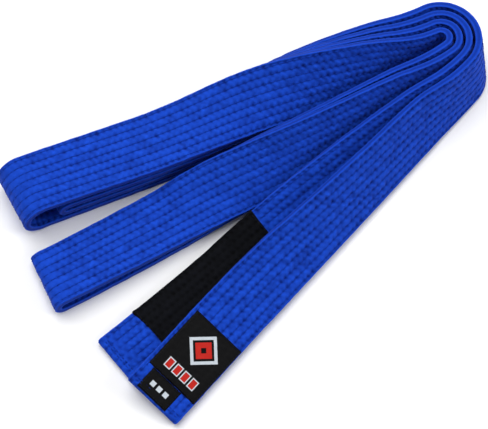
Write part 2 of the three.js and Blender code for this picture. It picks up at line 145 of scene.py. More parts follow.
def run(ply, side, end, leans, lift, innermost=None, shorter=0, bow=0, skew=0):
    """One layer from its U-turn to its end. side is 1 for the far bundle and -1 for the near one."""
    innermost = innermost or ply
    to_end = end - TURN_CENTRE
    swing = math.acos(turn_radius(innermost) / np.hypot(*to_end))
    touch = math.atan2(to_end[1], to_end[0]) % math.tau - side * swing + 4 * bow / np.hypot(*to_end)
    start = TURN_CENTRE + flat_direction(touch) * turn_radius(innermost)
    length = np.hypot(*(end - start))
    along = (end - start) / length
    left = np.array([-along[1], along[0]])
    distance = np.linspace(0, length - shorter, round((length - shorter) / STATION_STEP) + 1)
    share = (distance / length)[:, None]
    lean = np.radians(curve_at(leans, distance))
    height, tilt = lift(distance, lean, length)
    heading = unit(along + left * (4 * bow / length) * (1 - 2 * share))
    across = np.stack([heading[:, 1], -heading[:, 0]], 1)
    twist = np.radians(skew) * smoothstep(distance, length - SKEW_OVER, length)
    x, y, cos, sin = across[:, 0], across[:, 1], np.cos(twist), np.sin(twist)
    turned = np.stack([x * cos - y * sin, x * sin + y * cos], 1)
    width = np.concatenate([turned * np.cos(lean - tilt)[:, None], np.sin(lean - tilt)[:, None]], 1)
    settle = smoothstep(distance, 0, SETTLE_OVER)[:, None]
    width = unit(width * settle + TURN_WIDTH * (1 - settle))
    ground = start + along * distance[:, None] + left * 4 * bow * share * (1 - share)
    ground = ground + across * (side * (innermost - ply) * ground_gap(lean))[:, None]
    z = height * smoothstep(distance, 0, LIFT_OVER) + STRIP_THICKNESS / 2 * np.cos(lean)
    near = np.concatenate([ground, z[:, None]], 1)
    return {"centre": near + width * HALF_WIDTH, "width": width, "touch": touch}


def far_lift(ply):
    def lift(distance, lean, length):
        spread = (ply - 1) / 3 * FOLD_A_SPREAD * smoothstep(distance, length - FOLD_A_OPENS_OVER, length)
        return (ply - 1) * stack_step(lean) + spread, 0

    return lift


def upper_middle_lift(distance, lean, length):
    spread = FOLD_B_SPREAD * smoothstep(distance, length - FOLD_B_OPENS_OVER, length)
    return stack_step(lean) + spread, np.arcsin(spread / STRIP_WIDTH)


def flat_on(height):
    return lambda distance, lean, length: (np.full_like(distance, height), 0)


middle = {"innermost": 4, "bow": MIDDLE_RUN_BOW}
outer = {"innermost": 4, "bow": FAR_RUN_BOW, "skew": FAR_FOLD_SKEW}
inner = {**outer, "shorter": INNER_FOLD_SETBACK}
near_runs = {
    1: run(1, -1, LABEL_END, LABEL_RUN_LEAN, flat_on(LABEL_RUN_LIFT)),
    2: run(2, -1, BAR_END, BAR_RUN_LEAN, flat_on(BAR_RUN_LIFT), bow=BAR_RUN_BOW),
    3: run(3, -1, MIDDLE_FOLD_END, MIDDLE_RUN_LEAN, upper_middle_lift, **middle),
    4: run(4, -1, MIDDLE_FOLD_END, MIDDLE_RUN_LEAN, flat_on(0), **middle),
}
far_runs = {
    ply: run(ply, 1, DOUBLE_FOLD_END, FAR_RUN_LEAN, far_lift(ply), **(outer if ply in (1, 4) else inner))
    for ply in (1, 2, 3, 4)
}
print("stations in the label run:", len(near_runs[1]["centre"]))


# %% The U-turns and the folds
def turn(ply):
    first, last = near_runs[ply]["touch"] - math.tau, far_runs[ply]["touch"]
    arc = (last - first) * (turn_radius(ply) + 2)
    angle = np.linspace(first, last, max(24, round(arc / STATION_STEP)))[1:-1]
    ground = TURN_CENTRE + turn_radius(ply) * np.stack([np.cos(angle), np.sin(angle)], 1)
    z = np.full(len(angle), STRIP_THICKNESS / 2 * math.cos(math.radians(TURN_LEAN)))
    near = np.concatenate([ground, z[:, None]], 1)
    width = np.broadcast_to(TURN_WIDTH, near.shape)
    return {"centre": near + width * HALF_WIDTH, "width": width}


def fold(lower, upper):
    """A half circle from the end of the lower run up to the end of the upper one."""
    low_centre, low_width = lower["centre"][-1], lower["width"][-1]
    high_centre, high_width = upper["centre"][-1], upper["width"][-1]
    out = -unit(np.cross(low_width, UP))
    tall = np.linalg.norm(high_centre - low_centre)
    angle = np.linspace(0, math.pi, max(16, round(math.pi * tall / 2 / STATION_STEP)))[1:-1, None]
    edges = []
    for sign in (-1, 1):
        low = low_centre + low_width * sign * HALF_WIDTH
        high = high_centre + high_width * sign * HALF_WIDTH
        middle_point = (low + high) / 2
        radius = np.linalg.norm(high - low) / 2
        edges.append(middle_point + (low - middle_point) * np.cos(angle) + out * radius * np.sin(angle))
    return {"centre": (edges[0] + edges[1]) / 2, "width": unit(edges[1] - edges[0])}


def backwards(part):
    return {key: part[key][::-1] for key in ("centre", "width")}


outer_fold, inner_fold = fold(far_runs[1], far_runs[4]), fold(far_runs[2], far_runs[3])
middle_fold = fold(near_runs[4], near_runs[3])
# The strip from its label end to its bar end, in the five stretches that become pieces.
course = {
    "label_side": [backwards(near_runs[1])],
    "outer_loop": [turn(1), far_runs[1], outer_fold, backwards(far_runs[4])],
    "middle_loop": [backwards(turn(4)), near_runs[4], middle_fold, backwards(near_runs[3])],
    "inner_loop": [turn(3), far_runs[3], *map(backwards, (inner_fold, far_runs[2], turn(2)))],
    "bar_side": [near_runs[2]],
}
laid = [(name, part) for name, parts in course.items() for part in parts]
print("runs, turns and folds laid end to end:", len(laid))

# %% [markdown]
# The stations are then spaced evenly along the cloth. A short blur takes the last hint of
# a corner out of the joins between runs, turns and folds.


# %% Even stations along the whole strip
SHORTEST_STEP, PATH_BLUR, WIDTH_BLUR = 0.02, 1.5, 4.0


def blurred(values, reach_mm):
    half = math.ceil(3 * reach_mm / STATION_STEP)
    weights = np.exp(-0.5 * (np.arange(-half, half + 1) * STATION_STEP / reach_mm) ** 2)
    before = 2 * values[:1] - values[half:0:-1]
    after = 2 * values[-1:] - values[-2 : -half - 2 : -1]
    padded = np.concatenate([before, values, after])
    columns = [np.convolve(padded[:, k], weights / weights.sum(), "valid") for k in range(values.shape[1])]
    return np.stack(columns, 1)


centre, width = (np.concatenate([part[key] for _, part in laid]) for key in ("centre", "width"))
stretch = np.concatenate([[name] * len(part["centre"]) for name, part in laid])
step = np.linalg.norm(np.diff(centre, axis=0), axis=1)
keep = np.concatenate([[True], step > SHORTEST_STEP])
centre, width, stretch = centre[keep], width[keep], stretch[keep]
reach = np.concatenate([[0], np.cumsum(np.linalg.norm(np.diff(centre, axis=0), axis=1))])
STRIP_LENGTH = float(reach[-1])
stations = np.linspace(0, STRIP_LENGTH, round(STRIP_LENGTH / STATION_STEP) + 1)
centre, width = (
    np.stack([np.interp(stations, reach, values[:, k]) for k in range(3)], 1) for values in (centre, width)
)
centre, width = blurred(centre, PATH_BLUR), unit(blurred(width, WIDTH_BLUR))
face = unit(np.cross(np.gradient(centre, axis=0), width))
starts = {name: float(reach[np.argmax(stretch == name)]) for name in dict.fromkeys(stretch)}
print("strip length in mm:", round(STRIP_LENGTH, 1))


# %% Tie the path to the frame
# The hinge that lifts the label end is a known point of the strip, so it gives the shift.
def at_reach(values, where):
    return np.stack([np.interp(where, stations, values[:, k]) for k in range(values.shape[1])], -1)


hinge = frame["joints"][0]
HINGE_FROM_END = 140
own_hinge = at_reach(centre, HINGE_FROM_END) + unit(at_reach(face, HINGE_FROM_END)) * STRIP_THICKNESS / 2
shift = np.array(hinge["pos_m"]) / MM - own_hinge
shift[2] = 0
centre = centre + shift
print("shift into the frame in mm:", shift.round(2))

# %% [markdown]
# Quilting pulls the cover down along each row of stitches and lets it puff up between
# them. The needle holes pull deepest, so a row is a chain of dimples. That relief is in
# the mesh and not in a bump map, because it changes the outline of the ribs.

# %% Smooth seeded noise and the rows
ROW_COUNT, ROW_MARGIN = 8, 2.8
STITCH = 4.4
ROW_GROOVE, HOLE_DEPTH, SWELL, CRINKLE = 0.42, 0.36, 0.24, 0.32
DIMPLE_REACH, CHEVRON, DEEPEST = 1.8, 0.8, 1.35
CELL_CREASE, CELL_REACH = 0.2, 3.2
TURN_WRINKLE, WRINKLE_SPACING = 0.42, 3.3
FULL_BEND, TAUT, BEND_BLUR = 1 / 14, 0.5, 5.0
# How uneven the hand of the stitching is, each as (spacing in mm, amount).
STITCH_DRIFT, LONG_DRIFT, ROW_OFFSET = (22, 0.16), (140, 0.5), 0.42
SWELL_SPACING, PULL, WRINKLE_WANDER = 5, (4.4, 0.45), (6, 0.35)
CREASE_LENGTH = 4.0
rng = np.random.default_rng(7)
rows = np.linspace(-HALF_WIDTH + ROW_MARGIN, HALF_WIDTH - ROW_MARGIN, ROW_COUNT)
PITCH = rows[1] - rows[0]


def soft_noise(spacing, columns=1):
    """Smooth noise between -1 and 1 along the strip, one independent column each."""
    knots = rng.uniform(-1, 1, (int(STRIP_LENGTH / spacing) + 4, columns))
    x = stations / spacing
    k = x.astype(int)
    t = smoothstep(x - k, 0, 1)[:, None]
    return knots[k] * (1 - t) + knots[k + 1] * t


drift = soft_noise(STITCH_DRIFT[0], ROW_COUNT) * STITCH_DRIFT[1]
drift = drift + soft_noise(LONG_DRIFT[0], 1) * LONG_DRIFT[1]
phase = math.tau * (stations[:, None] / STITCH + drift + np.arange(ROW_COUNT) * ROW_OFFSET)
swell = {side: soft_noise(SWELL_SPACING, ROW_COUNT + 1) for side in (1, -1)}
pull = {side: 1 + PULL[1] * soft_noise(PULL[0], ROW_COUNT) for side in (1, -1)}
# Fine creases are pairs of slanting noises; their product breaks them into short pieces.
# Each is (slant of the first, slant of the second, spacing of the first).
SLANTS = ((0.9, -1.2, 2.3), (-0.7, 1.5, 3.1))
creases = {
    side: [(a, soft_noise(long)[:, 0], b, soft_noise(CREASE_LENGTH)[:, 0]) for a, b, long in SLANTS]
    for side in (1, -1)
}
# Where the strip bends, the cloth on the inside is squeezed into wrinkles straight across.
turning = np.gradient(np.gradient(centre, axis=0), axis=0)
bend = blurred(np.einsum("ij,ij->i", turning, face)[:, None], BEND_BLUR)
bend = bend[:, 0] / STATION_STEP**2
wander = WRINKLE_WANDER[1] * soft_noise(WRINKLE_WANDER[0])[:, 0]
wrinkle_phase = math.tau * (stations / WRINKLE_SPACING + wander)
wrinkles = 0.5 + 0.5 * np.cos(wrinkle_phase)
print("rows of stitches:", ROW_COUNT, "pitch in mm:", round(PITCH, 2))


# %% The height of the quilting
def relief(x, side):
    """Heights in mm, all stations by all positions x across, 0 on the crest of a rib."""
    place = (x - rows[0]) / PITCH
    low = np.clip(np.floor(place).astype(int), -1, ROW_COUNT - 1)
    height = np.zeros((len(stations), len(x)))
    for k in range(ROW_COUNT):
        away = np.abs(x - rows[k])
        near = away < PITCH / 2
        q = 1 - np.minimum(away / (PITCH / 2), 1)
        groove = 1 - np.sqrt(np.maximum(0, 1 - q**2))
        # The cloth is pulled into a chevron, so the dimple trails as it spreads from the hole.
        hole = (0.5 + 0.5 * np.cos(phase[:, k : k + 1] - CHEVRON * away)) ** 1.5
        dimple = np.exp(-((away / DIMPLE_REACH) ** 2))
        height -= near * (ROW_GROOVE * groove) * (0.7 + 0.3 * hole)
        cell = CELL_CREASE * np.exp(-((away / CELL_REACH) ** 2))
        height -= pull[side][:, k : k + 1] * hole * (HOLE_DEPTH * dimple + cell)
    height += SWELL * swell[side][:, low + 1] * np.sin(np.pi * np.clip(place - low, 0, 1))
    for a, long, b, cross in creases[side]:
        first = np.stack([np.interp(stations + a * at, stations, long) for at in x], 1)
        second = np.stack([np.interp(stations + b * at, stations, cross) for at in x], 1)
        height += CRINKLE * first * second
    # Round a bend the cloth is squeezed on the inside and pulled smooth on the outside.
    squeezed = np.clip(bend * side / FULL_BEND, 0, 1)
    stretched = np.clip(-bend * side / FULL_BEND, 0, 1)
    height = height * (1 - TAUT * stretched)[:, None] - (TURN_WRINKLE * squeezed * wrinkles)[:, None]
    return np.maximum(height, -DEEPEST)


def face_height(where, x, side):
    """The relief at single points, where the stitches lie."""
    return at_reach(relief(np.array([x]), side), where)[:, 0]


print("deepest dimple in mm:", round(float(relief(rows[:1], 1).min()), 2))

# %% [markdown]
# The cross-section is a slab whose edges are folded cloth: two soft corners with a shallow
# hollow between them, and a thin crease in each face just inside the edge.

# %% The outline of the strip
HALF_THICKNESS, EDGE_ROUND, EDGE_STEPS = 2.35, 1.35, 10
EDGE_CREASE, CREASE_WIDTH, CREASE_DEPTH = 1.75, 0.4, 0.38
SQUARENESS, EDGE_HOLLOW, HOLLOW_REACH = 0.72, 0.55, 0.45
INNER_BRIM, POINTS_PER_RIB = 2.2, 6
brim = HALF_WIDTH - np.array([EDGE_ROUND, EDGE_CREASE, INNER_BRIM])
quilted_x = np.linspace(rows[0], rows[-1], POINTS_PER_RIB * (ROW_COUNT - 1) + 1)
face_x = np.concatenate([-brim, quilted_x, brim[::-1]])
arc = np.linspace(0, math.pi, EDGE_STEPS + 2)[1:-1]
edge_y = np.sign(np.cos(arc)) * np.abs(np.cos(arc)) ** SQUARENESS
hollow = np.exp(-((edge_y / HOLLOW_REACH) ** 2))
edge_x = HALF_WIDTH - EDGE_ROUND + EDGE_ROUND * np.sin(arc) ** SQUARENESS - EDGE_HOLLOW * hollow
outline_x = np.concatenate([face_x[::-1], -edge_x, face_x, edge_x])
outline_y = np.concatenate([np.ones(len(face_x)), edge_y, -np.ones(len(face_x)), -edge_y])
# The near edge is walked from the top face down and the far edge from the bottom face up.
n = len(face_x)
top, near_edge = slice(0, n), slice(n, n + EDGE_STEPS)
bottom, far_edge = slice(n + EDGE_STEPS, 2 * n + EDGE_STEPS), slice(2 * n + EDGE_STEPS, None)
outline_steps = np.diff(outline_x, prepend=outline_x[:1]), np.diff(outline_y, prepend=1) * HALF_THICKNESS
around = np.cumsum(np.hypot(*outline_steps))
# The cloth coordinate runs up and back down again, so that it has no jump where it closes.
around = np.minimum(around, around[-1] - around)
print("points round the section:", len(outline_x))


# %% The surface of the strip
END_ROUND, END_FLATNESS, END_NARROWING = 2.0, 0.1, 0.05
# The colour share of the edges, the painted shade in the hollow between their corners, and the highest
# share.
EDGE_LIGHTNESS, HOLLOW_SHADE, MOST_LIGHTNESS = 1.05, 0.75, 1.4
# Each unevenness of the edge is (spacing in mm, amount in mm).
EDGE_WAVE, EDGE_FUZZ = (5, 0.16), (2, 0.06)
THREAD_CLEAR = 0.06


def end_taper(where, round_off):
    """From 0 at either end of the strip to 1 past the rounding."""
    t = np.clip(np.minimum(where, STRIP_LENGTH - where) / round_off, 0, 1)
    return np.sqrt(1 - (1 - t) ** 2)


def section_points():
    """x and y of every point of the outline at every station, and its share of painted shade and wear."""
    x = np.repeat(outline_x[None], len(stations), 0)
    y = outline_y[None] * HALF_THICKNESS * np.ones((len(stations), 1))
    shade_and_wear = np.ones_like(x)
    for part, side in ((top, 1), (bottom, -1)):
        height = relief(outline_x[part], side)
        crease = np.exp(-(((HALF_WIDTH - np.abs(outline_x[part]) - EDGE_CREASE) / CREASE_WIDTH) ** 2))
        height = height - CREASE_DEPTH * crease
        y[:, part] += side * height
        # Painted shade: the colour share falls with the relief, so dimples and creases are painted darker
        # and the crests come out a little lighter as worn.
        shade_and_wear[:, part] = 1 + height / DEEPEST
    # The edges get one lightness, with painted shade in the hollow between their two corners.
    shade_and_wear[:, near_edge] = shade_and_wear[:, far_edge] = EDGE_LIGHTNESS - HOLLOW_SHADE * hollow
    bead = soft_noise(EDGE_WAVE[0], 2) * EDGE_WAVE[1] + soft_noise(EDGE_FUZZ[0], 2) * EDGE_FUZZ[1]
    x[:, near_edge] -= bead[:, :1] * np.sin(arc)
    x[:, far_edge] += bead[:, 1:] * np.sin(arc)
    squeeze = end_taper(stations, END_ROUND)[:, None] * (1 - END_FLATNESS) + END_FLATNESS
    return x * (1 - END_NARROWING * (1 - squeeze)), y * squeeze, np.clip(shade_and_wear, 0, MOST_LIGHTNESS)


section_x, section_y, shade_and_wear_grid = section_points()
surface = centre[:, None] + width[:, None] * section_x[..., None] + face[:, None] * section_y[..., None]
# The lowest stitches stand a little proud, so the cover is kept off the floor.
floor_gap = surface[..., 2].min() - THREAD_CLEAR
surface[..., 2] -= floor_gap
centre[:, 2] -= floor_gap
wrapped = np.concatenate([surface[:, -1:], surface, surface[:, :1]], 1)
round_it = np.gradient(wrapped, axis=1)[:, 1:-1]
normals = unit(np.cross(np.gradient(surface, axis=0), round_it))
outwards = np.sign(np.einsum("ijk,ijk->ij", normals[:, top], np.repeat(face[:, None], n, 1)).mean())
normals = normals * outwards
print("surface points:", surface.shape[0] * surface.shape[1], "outwards:", outwards)

# %% [markdown]
# Each piece of cover is a closed tube made from a grid of points. Its normals come from
# the whole strip, so that no line shows where one piece meets the next.


# %% Meshes from grids
def object_from(name, points, quads, cloth_uv=None, normal=None, shade_and_wear=None):
    """points in mm; quads as rows of four corners, with a repeated last corner for a triangle."""
    quads = np.asarray(quads)
    triangle = quads[:, 3] == quads[:, 2]
    counts = np.where(triangle, 3, 4)
    corners = quads[np.stack([np.ones_like(triangle)] * 3 + [~triangle], 1)]
    mesh = bpy.data.meshes.new(name)
    mesh.vertices.add(len(points))
    mesh.vertices.foreach_set("co", (points * MM).astype(np.float32).ravel())
    mesh.loops.add(len(corners))
    mesh.loops.foreach_set("vertex_index", corners.astype(np.int32))
    mesh.polygons.add(len(quads))
    first_corners = np.concatenate([[0], np.cumsum(counts)[:-1]])
    mesh.polygons.foreach_set("loop_start", first_corners.astype(np.int32))
    mesh.polygons.foreach_set("use_smooth", np.ones(len(quads), bool))
    mesh.update(calc_edges=True)
    if cloth_uv is not None:
        layer = mesh.uv_layers.new(name="cloth")
        layer.uv.foreach_set("vector", cloth_uv[corners].astype(np.float32).ravel())
    if shade_and_wear is not None:
        kept = mesh.attributes.new("shade_and_wear", "FLOAT", "POINT")
        kept.data.foreach_set("value", shade_and_wear.astype(np.float32).ravel())
    if normal is not None:
        mesh.normals_split_custom_set_from_vertices(normal)
    made = bpy.data.objects.new(name, mesh)
    bpy.context.scene.collection.objects.link(made)
    return made


def tube_quads(rings, points_round):
    """Quads between rings of points. The last point of a ring joins its first."""
    i, j = np.meshgrid(np.arange(rings - 1), np.arange(points_round), indexing="ij")
    after = (j + 1) % points_round
    here, there = i * points_round, (i + 1) * points_round
    return np.stack([here + j, here + after, there + after, there + j], -1).reshape(-1, 4)


def fan(ring, tip, backwards=False):
    """Triangles from a ring of points to one point in its middle."""
    after, tips = np.roll(ring, -1), np.full(len(ring), tip)
    pair = (after, ring) if backwards else (ring, after)
    return np.stack([*pair, tips, tips], 1)


def volume(points, quads):
    a, b, c, d = (points[quads[:, k]] for k in range(4))
    return float((np.cross(b - a, c - a) * a + np.cross(c - a, d - a) * a).sum() / 6)


def turned_over(quads):
    turned = quads[:, [0, 3, 2, 1]].copy()
    triangle = quads[:, 3] == quads[:, 2]
    turned[triangle] = quads[triangle][:, [0, 2, 1, 1]]
    return turned


def facing_out(points, quads):
    return quads if volume(points, quads) > 0 else turned_over(quads)


def capped_tube(name, grid, tips, cloth_uv, normal=None, shade_and_wear=None):
    """A tube through a grid of points. Each end is closed by a fan of triangles to a tip."""
    rings, points_round = grid.shape[:2]
    points = np.concatenate([grid.reshape(-1, 3), tips])
    ring, first_tip = np.arange(points_round), rings * points_round
    caps = fan(ring, first_tip, True), fan(ring + (rings - 1) * points_round, first_tip + 1)
    quads = facing_out(points, np.concatenate([tube_quads(rings, points_round), *caps]))
    uv = np.concatenate([np.stack(cloth_uv, -1).reshape(-1, 2), np.zeros((2, 2))])
    return object_from(name, points, quads, uv, normal, shade_and_wear)


print("helpers ready")


# %% The cover, in five pieces of one cloth
CAP_RECESS = 1.0
names = list(starts)
limits = [starts[name] for name in names] + [STRIP_LENGTH]


def cover_piece(name, start, end):
    last_station = len(stations) - 1
    first, last = (round(at / STRIP_LENGTH * last_station) for at in (start, end))
    span = slice(first, last + 1)
    # A cut end is closed by a cap that is set in a little, and a true end by a flush one.
    inwards = unit(np.stack([centre[first + 1] - centre[first], centre[last - 1] - centre[last]]))
    recess = CAP_RECESS * np.array([[first > 0], [last < last_station]])
    tips = centre[[first, last]] + inwards * recess
    cloth_uv = np.broadcast_arrays(stations[span, None], around[None])
    normal = np.concatenate([normals[span].reshape(-1, 3), -inwards])
    shade_and_wear = np.concatenate([shade_and_wear_grid[span].ravel(), [1, 1]])
    return capped_tube(f"belt_cover_{name}", surface[span], tips, cloth_uv, normal, shade_and_wear)


covers = {name: cover_piece(name, limits[k], limits[k + 1]) for k, name in enumerate(names)}
print({name: len(piece.data.polygons) for name, piece in covers.items()})

# %% [markdown]
# Lockstitches show as a short thread from hole to hole on both faces, so every row is
# made of small spindles that dip into the dimples.


# %% Threads
THREAD, THREAD_FLATNESS = 0.27, 0.8
# A thread dives into its hole at either end: shares of its length, and heights in mm.
THREAD_SHARES, THREAD_HEIGHTS = np.array([0, 0.22, 0.78, 1]), np.array([-0.25, 0.2, 0.2, -0.25])


def point_on(where, x, y):
    """Points in the frame from distance along, across and off the middle of the strip."""
    where, x, y = np.broadcast_arrays(where, x, y)
    across, off = unit(at_reach(width, where)), unit(at_reach(face, where))
    return at_reach(centre, where) + across * x[..., None] + off * y[..., None]


def spindles(name, ends, off, thick=THREAD):
    """Threads from point to point. ends holds pairs of (along, across) and off their heights."""
    a, b = ends[:, 0], ends[:, 1]
    route = a[:, None] + (b - a)[:, None] * THREAD_SHARES[:, None]
    side = np.sign(off)[:, None]
    height = np.abs(off)[:, None] + THREAD_HEIGHTS
    middle_line = point_on(route[..., 0], route[..., 1], side * height)
    outward = unit(at_reach(face, route[..., 0])) * side[..., None]
    forward = unit(middle_line[:, -1] - middle_line[:, 0])[:, None]
    sideways = np.cross(forward, outward)
    ring = []
    for k in range(4):
        out_by = math.cos(k * math.tau / 4) * THREAD_FLATNESS
        side_by = math.sin(k * math.tau / 4)
        spoke = outward[:, 1:3] * out_by + sideways[:, 1:3] * side_by
        ring.append(middle_line[:, 1:3] + spoke * thick)
    rings = np.stack(ring, 2).reshape(len(ends), 8, 3)
    points = np.concatenate([middle_line[:, :1], rings, middle_line[:, -1:]], 1)
    one = []
    for k in range(4):
        after = (k + 1) % 4
        one.append([0, 1 + after, 1 + k, 1 + k])
        one.append([1 + k, 1 + after, 5 + after, 5 + k])
        one.append([9, 5 + k, 5 + after, 5 + after])
    one = np.array(one)
    quads = (one[None] + np.arange(len(ends))[:, None, None] * 10).reshape(-1, 4)
    if volume(points[0], one) < 0:
        quads = turned_over(quads)
    return object_from(name, points.reshape(-1, 3), quads)


def holes_of(row):
    """Where the needle went in: each time the row's phase comes round."""
    turns = phase[:, row] / math.tau
    count = np.arange(math.ceil(turns[0]) + 1, math.floor(turns[-1]) - 1)
    return np.interp(count, turns, stations)


END_CLEAR, HOLE_GAP, BAR_CLEAR = 5.5, 0.3, 1
# The rank bar hides the rows under it, and its sleeve lies tight on them.
BAR_FROM_END, BAR_LENGTH = 29, 104
bar_to = STRIP_LENGTH - BAR_FROM_END
bar_from = bar_to - BAR_LENGTH
stitching = {}
for k in range(ROW_COUNT):
    holes = holes_of(k)
    holes = holes[(holes > END_CLEAR) & (holes < STRIP_LENGTH - END_CLEAR)]
    pairs = np.stack([holes[:-1] + HOLE_GAP, holes[1:] - HOLE_GAP], 1)
    middle_of = pairs.mean(1)
    pairs = pairs[(middle_of < bar_from - BAR_CLEAR) | (middle_of > bar_to + BAR_CLEAR)]
    on_label_side = pairs.mean(1) < starts["outer_loop"]
    for part, kept in (("label_side", on_label_side), ("rest", ~on_label_side)):
        chosen = pairs[kept]
        ends, off = [], []
        for side in (1, -1):
            across = np.full_like(chosen, rows[k])
            ends.append(np.stack([chosen, across], -1))
            off.append(side * (HALF_THICKNESS + face_height(chosen.mean(1), rows[k], side)))
        name = f"quilting_row_{k + 1}_{part}"
        stitching[k, part] = spindles(name, np.concatenate(ends), np.concatenate(off))
print("pieces of stitching:", len(stitching))

# %% [markdown]
# Both ends of the strip are turned in and closed by seams straight across, so a second
# set of the same spindles runs from edge to edge there.


# %% The seams across the two ends
CROSS_STITCH, CROSS_GAP = 3.0, 0.25
END_SEAMS, END_SEAM_HALF, END_SEAM_SINK = (3.6, 5.4), 18.5, 0.05


def cross_seam(name, distances, half_width, height, thick=THREAD):
    first = np.arange(-half_width, half_width - CROSS_STITCH, CROSS_STITCH)
    across = np.stack([first + CROSS_GAP, first + CROSS_STITCH - CROSS_GAP], 1)
    ends, off = [], []
    for distance in distances:
        for side in (1, -1):
            ends.append(np.stack([np.full_like(across, distance), across], -1))
            off.append(np.full(len(across), side * height))
    return spindles(name, np.concatenate(ends), np.concatenate(off), thick)


seam_height = HALF_THICKNESS - END_SEAM_SINK
from_far_end = [STRIP_LENGTH - distance for distance in END_SEAMS]
end_seam_label = cross_seam("end_seam_label_side", END_SEAMS, END_SEAM_HALF, seam_height)
end_seam_bar = cross_seam("end_seam_bar_side", from_far_end, END_SEAM_HALF, seam_height)
print("faces in an end seam:", len(end_seam_bar.data.polygons))

# %% [markdown]
# The rank bar is a sleeve of thin black cotton, wrapped round the belt and sewn down, so
# the ribs show through it. Its raw ends are turned under, in a raised hem that wanders.

# %% The rank bar
BAR_CLOTH, BAR_TUCK = 0.5, 0.35
HEM, HEM_RISE, HEM_SLOPE, HEM_BOW = 3.2, 0.28, 1.2, 2.0
INNER_BOW, OUTER_BOW, BOW_REACH, RAW_EDGE = 0.6, -1.0, 30, 1.4
BAR_SEAM_INSET, BAR_SEAM_HALF, BAR_SEAM_SINK, BAR_THREAD = 2.0, 20, 0.1, 0.28
out_x, out_y = np.zeros_like(outline_x), outline_y.copy()
out_x[near_edge], out_x[far_edge] = -np.sin(arc), np.sin(arc)


def sampled(values, where):
    """Values kept per station and column, read at other distances, column by column."""
    return np.stack([np.interp(where[:, j], stations, values[:, j]) for j in range(where.shape[1])], 1)


def sleeve(name, start, end):
    distance = np.linspace(start, end, round((end - start) / STATION_STEP) + 1)
    inside = np.minimum(distance - start, end - distance)
    bow_share = np.where(distance < (start + end) / 2, INNER_BOW, OUTER_BOW)
    bow = HEM_BOW * (1 - (outline_x / HALF_WIDTH) ** 2) * bow_share[:, None]
    where = distance[:, None] + bow * smoothstep(BOW_REACH - inside, 0, BOW_REACH)[:, None]
    x, y = sampled(section_x, where), sampled(section_y, where)
    hem = HEM_RISE * smoothstep(HEM - inside, 0, HEM_SLOPE)
    rise = BAR_CLOTH + hem - BAR_CLOTH * smoothstep(RAW_EDGE - inside, 0, RAW_EDGE) ** 2
    outside = point_on(where, x + out_x * rise[:, None], y + out_y * rise[:, None])
    lining = point_on(where, x - out_x * BAR_TUCK, y - out_y * BAR_TUCK)
    grid = np.concatenate([outside, lining[::-1]])
    rings, points_round = grid.shape[:2]
    i = np.arange(points_round)
    after = (i + 1) % points_round
    last = (rings - 1) * points_round
    closing = np.stack([last + i, last + after, after, i], -1)
    points = grid.reshape(-1, 3)
    quads = facing_out(points, np.concatenate([tube_quads(rings, points_round), closing]))
    there_and_back = np.concatenate([where, where[::-1]])
    uv = np.stack([there_and_back, np.repeat(around[None], rings, 0)], -1).reshape(-1, 2)
    return object_from(name, points, quads, uv, None, sampled(shade_and_wear_grid, there_and_back))


rank_bar = sleeve("rank_bar_sleeve", bar_from, bar_to)
bar_height = HALF_THICKNESS + BAR_CLOTH + HEM_RISE - BAR_SEAM_SINK
bar_seam_inner, bar_seam_outer = (
    cross_seam(f"rank_bar_thread_{which}", [at], BAR_SEAM_HALF, bar_height, BAR_THREAD)
    for which, at in (("inner", bar_from + BAR_SEAM_INSET), ("outer", bar_to - BAR_SEAM_INSET))
)
print("rank bar faces:", len(rank_bar.data.polygons))

# %% [markdown]
# A woven label is a stiff patch of satin. It bridges the small dimples and follows only
# the broad ribs. Its four sides are turned under and stitched close to the edge.


# %% Patches that lie on the face
ROUND_OUTSIDE, ROUND_INSIDE, THINNEST = 0.3, 0.6, 0.15
THREAD_SHARE = 0.8


def patch_tube(name, start, end, x0, x1, low, high, follow, side=1, step=0.9, round_off=0.5):
    """A thin closed slab between two heights over the strip's middle, from x0 to x1."""
    distance = np.linspace(start, end, max(3, round((end - start) / step) + 1))
    x = np.linspace(x0, x1, max(3, round((x1 - x0) / step) + 1))
    ribs = at_reach(relief(x, side), distance)
    from_ends, from_sides = np.minimum(distance - start, end - distance), np.minimum(x - x0, x1 - x)
    from_edge = np.minimum(from_ends[:, None], from_sides[None])
    rounding = smoothstep(from_edge, -ROUND_OUTSIDE, round_off + ROUND_INSIDE)
    upper = high + follow * ribs - np.minimum(round_off, high - low) * (1 - rounding)
    lower = np.minimum(low, upper - THINNEST)
    grid_x = np.repeat(np.concatenate([x[::-1], x])[None], len(distance), 0)
    grid_y = side * np.concatenate([upper[:, ::-1], lower], 1)
    grid_w = np.repeat(distance[:, None], 2 * len(x), 1)
    grid = point_on(grid_w, grid_x, grid_y)
    tips = [grid[0].mean(0), grid[-1].mean(0)]
    return capped_tube(name, grid, tips, (x1 - grid_x, grid_w - start))


def border_thread(name, start, end, x0, x1, inset, height, stitch, thick):
    """Stitches round a patch, a little inside its edge."""
    a, b, c, d = start + inset, end - inset, x0 + inset, x1 - inset
    corners = np.array([(a, c), (b, c), (b, d), (a, d)])
    ends = []
    for one, two in zip(corners, np.roll(corners, -1, 0)):
        count = max(2, round(np.hypot(*(two - one)) / stitch))
        t = np.arange(count) / count
        heads = one + (two - one) * t[:, None]
        tails = one + (two - one) * (t + THREAD_SHARE / count)[:, None]
        ends.append(np.stack([heads, tails], 1))
    ends = np.concatenate(ends)
    return spindles(name, ends, np.full(len(ends), height), thick)


LABEL_WIDTH, LABEL_LENGTH, LABEL_FROM_END, LABEL_OFFSET = 39, 46, 17, -1
TAB_WIDTH, TAB_LENGTH, TAB_FROM_END, TAB_OFFSET = 24, 15.6, 1.2, 2
LABEL_TOP, TAB_TOP = HALF_THICKNESS + 0.62, HALF_THICKNESS + 0.5
PATCH_SINK, PATCH_FOLLOW = 0.5, 0.32
BORDER_INSET, BORDER_LIFT, BORDER_STITCH, BORDER_THREAD = 1.1, 0.02, 2.2, 0.22


